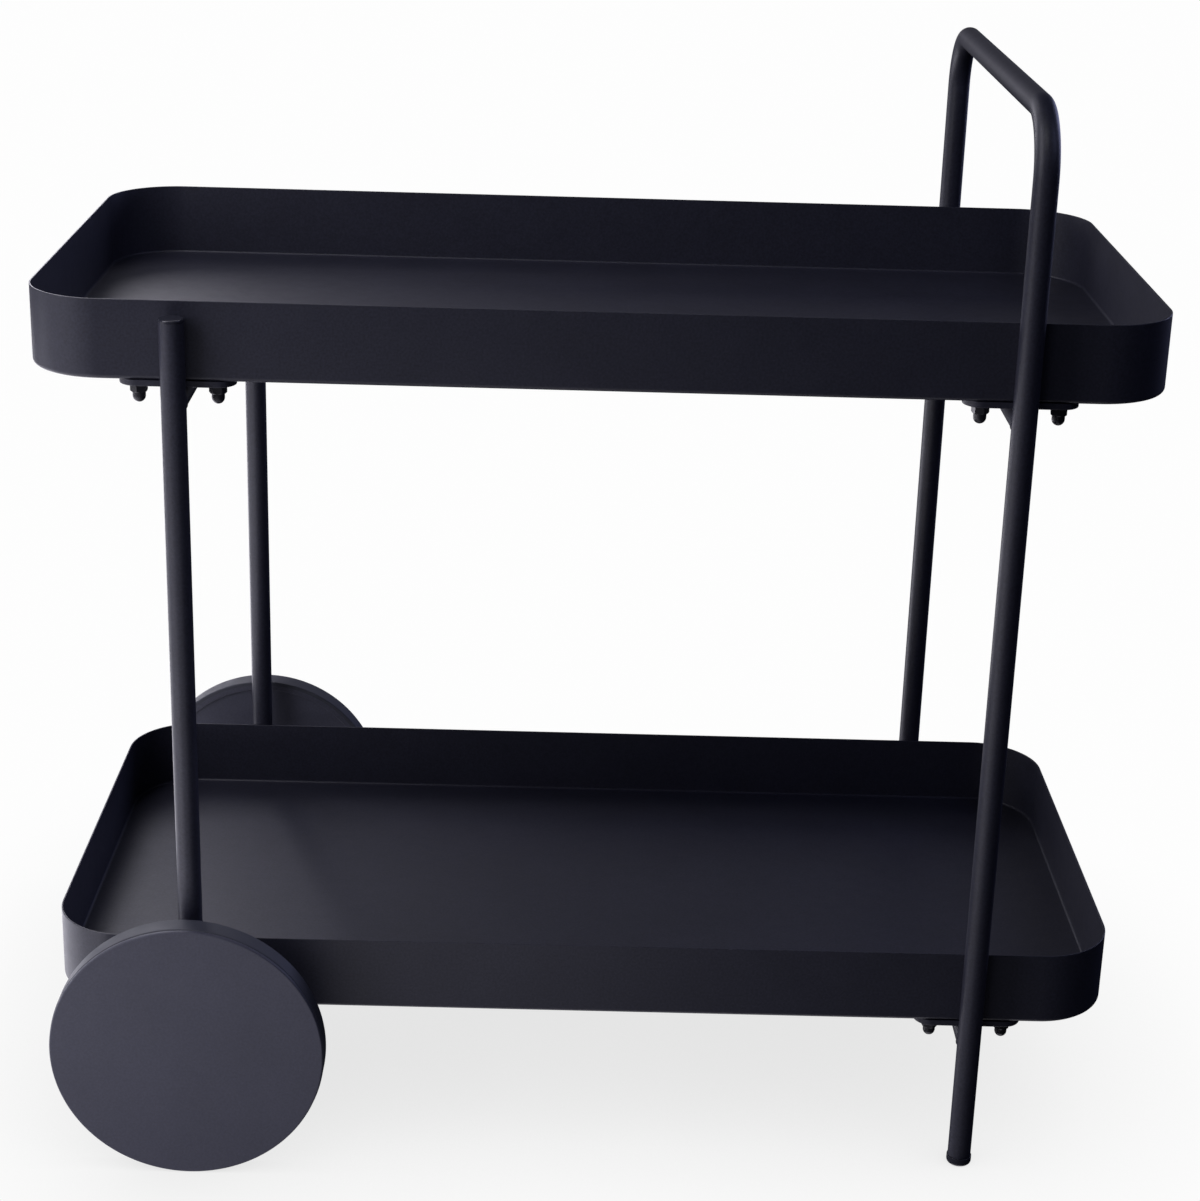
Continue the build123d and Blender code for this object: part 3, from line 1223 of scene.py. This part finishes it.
@dataclass(frozen=True)
class Viewpoint:
    """Where the camera stands and how it is turned."""

    eye: Vector = Vector((-0.0143, -1.6940, 0.9648))
    pan: float = math.radians(0.682)
    tilt: float = math.radians(-20.20)
    roll: float = math.radians(1.680)
    lens: float = 74.52
    sensor: float = 36.0
    clip: tuple[float, float] = (0.05, 60.0)

    def build(self) -> None:
        """Make the camera and use it."""
        ahead = Vector(
            (
                math.sin(self.pan) * math.cos(self.tilt),
                math.cos(self.pan) * math.cos(self.tilt),
                math.sin(self.tilt),
            )
        )
        right = Vector((math.cos(self.pan), -math.sin(self.pan), 0))
        up = right.cross(ahead)
        turned_right = math.cos(self.roll) * right + math.sin(self.roll) * up
        turned_up = math.cos(self.roll) * up - math.sin(self.roll) * right
        camera = bpy.data.cameras.new("camera")
        camera.lens = self.lens
        camera.sensor_width = self.sensor
        camera.clip_start, camera.clip_end = self.clip
        holder = bpy.data.objects.new("camera", camera)
        axes = Matrix((turned_right, turned_up, -ahead)).transposed().to_4x4()
        holder.matrix_world = Matrix.Translation(self.eye) @ axes
        bpy.context.scene.collection.objects.link(holder)
        bpy.context.scene.camera = holder


@dataclass(frozen=True)
class Studio:
    """A pale floor, windows and sunlit floor on the left, and weaker cool light on the right."""

    floor_size: float = 40.0
    floor_glow: float = 0.985
    # glow of the floor where its painted shadow is deepest
    floor_shadow: float = 0.72
    shadow_reach: float = 0.22
    shadow_samples: int = 8
    surround_colour: str = "#93a0c4"
    surround_strength: float = 0.01

    def lamps(self) -> list[Softbox]:
        """The lamps round the cart.

        Returns:
            The windows, the sunlit patches of floor, and the fill lamps.
        """
        middle, wheel_end = Vector((0.05, 0.0, 0.40)), Vector((-0.15, 0.0, 0.38))
        near_wall, near_floor = Vector((-0.45, 0.0, 0.50)), Vector((-0.30, 0.0, 0.38))
        white, pale, cool = (1.0, 1.0, 1.0), (0.93, 0.91, 1.0), (0.54, 0.58, 1.0)
        return [
            Softbox("window_front_left", Vector((-0.92, -0.64, 0.92)), wheel_end, 0.5, 0.75, 3.8, pale),
            Softbox("window_low", Vector((-1.00, -0.45, 0.30)), wheel_end, 0.4, 0.5, 0.5, pale),
            Softbox("window_high", Vector((-0.80, -0.30, 1.50)), wheel_end, 0.6, 0.6, 4.4, pale),
            Softbox("window_behind", Vector((-0.65, 0.75, 0.85)), wheel_end, 0.4, 0.5, 3.2, pale),
            Softbox("window_far_left", Vector((-1.40, 2.20, 1.30)), wheel_end, 0.8, 0.8, 4.0, pale),
            Softbox("window_top", Vector((-0.35, 0.60, 1.30)), near_wall, 0.4, 0.4, 0.9, pale),
            Softbox("ceiling_light", Vector((-0.05, -0.75, 1.65)), wheel_end, 0.25, 0.25, 1.3, white),
            Softbox("floor_patch_left", Vector((-0.85, 0.05, 0.02)), near_wall, 0.5, 1.0, 3.5, pale),
            Softbox("floor_patch_behind", Vector((-0.70, 0.70, 0.02)), near_floor, 0.6, 0.6, 4.2, pale),
            Softbox("floor_patch_corner", Vector((-0.75, -0.55, 0.02)), near_floor, 0.5, 0.5, 1.5, pale),
            Softbox("floor_patch_front", Vector((-0.35, -0.75, 0.02)), near_floor, 0.8, 0.5, 0.9, pale),
            Softbox("floor_bounce", Vector((0.0, -0.30, -1.50)), middle, 1.6, 1.2, 8.0, pale),
            Softbox("wall_behind_high", Vector((0.3, 2.40, 1.20)), middle, 1.8, 1.2, 1.2, pale),
            Softbox("wall_behind_low", Vector((0.0, 2.40, 0.30)), middle, 1.8, 0.6, 0.4, pale),
            Softbox("sky_right", Vector((2.00, 1.60, 1.00)), middle, 1.2, 1.2, 13.0, cool),
            Softbox("sky_front_right", Vector((1.60, -0.60, 1.80)), middle, 1.0, 1.0, 3.5, cool),
        ]

    def build(self) -> None:
        """Set up the floor, the lamps, the surroundings, the camera and the colour handling."""
        self.build_floor()
        self.build_surroundings()
        for lamp in self.lamps():
            lamp.build()
        Viewpoint().build()
        bpy.context.scene.view_settings.view_transform = "Standard"

    def build_floor(self) -> None:
        """Lay a pale floor that glows near white to the camera, with a faint soft shadow painted into its
        glow wherever ambient occlusion finds the cart close by.
        """
        half = self.floor_size / 2
        mesh = bpy.data.meshes.new("studio_floor")
        corners = [(-half, -half, 0), (half, -half, 0), (half, half, 0), (-half, half, 0)]
        mesh.from_pydata(corners, [], [(0, 1, 2, 3)])
        floor = bpy.data.objects.new("studio_floor", mesh)
        bpy.context.scene.collection.objects.link(floor)
        paper = bpy.data.materials.new("white_paper")
        paper.use_nodes = True
        tree = paper.node_tree
        tree.nodes.remove(tree.nodes["Principled BSDF"])
        # painted shadow: the floor takes no light, so its glow is dimmed by ambient occlusion near the cart
        # instead of by any lamp
        reach = {"samples": self.shadow_samples, "Distance": self.shadow_reach}
        painted_shadow_occlusion = node(tree, "AmbientOcclusion", reach)
        shade = {"From Min": 0.0, "From Max": 1.0, "To Min": self.floor_shadow, "To Max": self.floor_glow}
        level = node(tree, "MapRange", shade, {"Value": painted_shadow_occlusion.outputs["AO"]})
        glow = node(tree, "Emission", {"Color": (1, 1, 1, 1)}, {"Strength": level.outputs["Result"]})
        tree.links.new(glow.outputs[0], tree.nodes["Material Output"].inputs["Surface"])
        paper.cycles.emission_sampling = "NONE"
        mesh.materials.append(paper)
        floor.visible_diffuse = False
        floor.visible_glossy = False
        floor.visible_shadow = False

    def build_surroundings(self) -> None:
        """White to the camera, and a weak cool light to everything else."""
        world = bpy.data.worlds.new("studio_surroundings")
        world.use_nodes = True
        bpy.context.scene.world = world
        tree = world.node_tree
        seen = node(tree, "LightPath", {}).outputs["Is Camera Ray"]
        glow = {"Color": linear(self.surround_colour), "Strength": self.surround_strength}
        dim = node(tree, "Background", glow)
        white = node(tree, "Background", {"Color": (1, 1, 1, 1), "Strength": 1.0})
        both = node(tree, "MixShader", {}, {0: seen, 1: dim.outputs[0], 2: white.outputs[0]})
        tree.links.new(both.outputs[0], tree.nodes["World Output"].inputs["Surface"])


# ---------------------------------------------------------------- the cart


def main() -> None:
    """Build the cart's looks round the CAD frame, then the studio."""
    logging.basicConfig(level=logging.INFO, format="%(name)s: %(message)s")
    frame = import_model()
    nodes = frame["nodes"]
    finishes = mix_finishes()
    for level in Level:
        Tray(finishes, level=level).build()
        TrayFixings(finishes, level=level).build(nodes)
    TubeFrame(finishes).build()
    EndCaps(finishes).build()
    AxleParts(finishes).build(nodes)
    for side in Side:
        Wheel(finishes, body=f"{side.word}_wheel", side=side).build(nodes)
    Studio().build()


if __name__ == "__main__":
    main()
